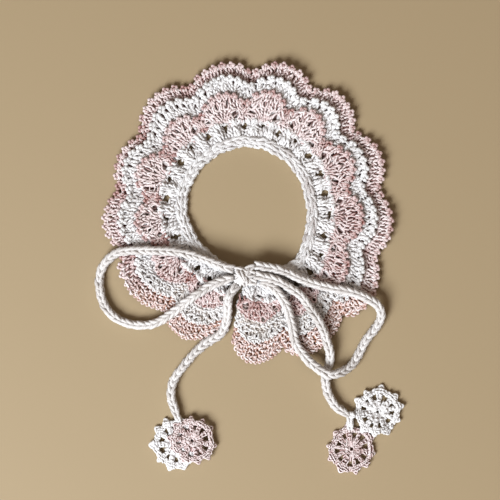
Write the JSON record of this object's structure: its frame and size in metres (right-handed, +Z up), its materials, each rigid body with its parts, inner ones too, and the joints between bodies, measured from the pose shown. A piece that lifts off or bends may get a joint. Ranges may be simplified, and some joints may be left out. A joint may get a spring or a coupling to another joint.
{
  "type": "crochet collar",
  "caption": "Round ruffled crochet collar of three scalloped tiers, lying flat, tied at the front with a cord bow that ends in small flowers.",
  "frame": {"origin": "on the surface that the collar lies on, under the middle of the ruffles' bounding box, the tie left out", "axes": "+Z up off the surface, -Y towards the bow at the front, +X to the right as seen from above"},
  "size_m": [0.3076, 0.4116, 0.0229],
  "materials": {
    "white_yarn": "soft white cotton yarn, crocheted",
    "pink_yarn": "dusty pink cotton yarn, crocheted",
    "cord_yarn": "white cotton yarn, crocheted into a cord"
  },
  "bodies": {
    "root": {"neck_edge": "white_yarn", "eyelet_row": "white_yarn", "top_tier": "pink_yarn", "middle_tier": "white_yarn", "under_tier": "pink_yarn", "bow_knot": "cord_yarn", "left_loop": "cord_yarn", "right_loop": "cord_yarn", "left_tail": "cord_yarn", "right_tail": "cord_yarn", "left_white_flower": "white_yarn", "left_pink_flower": "pink_yarn", "right_white_flower": "white_yarn", "right_pink_flower": "pink_yarn"}
  },
  "joints": []
}
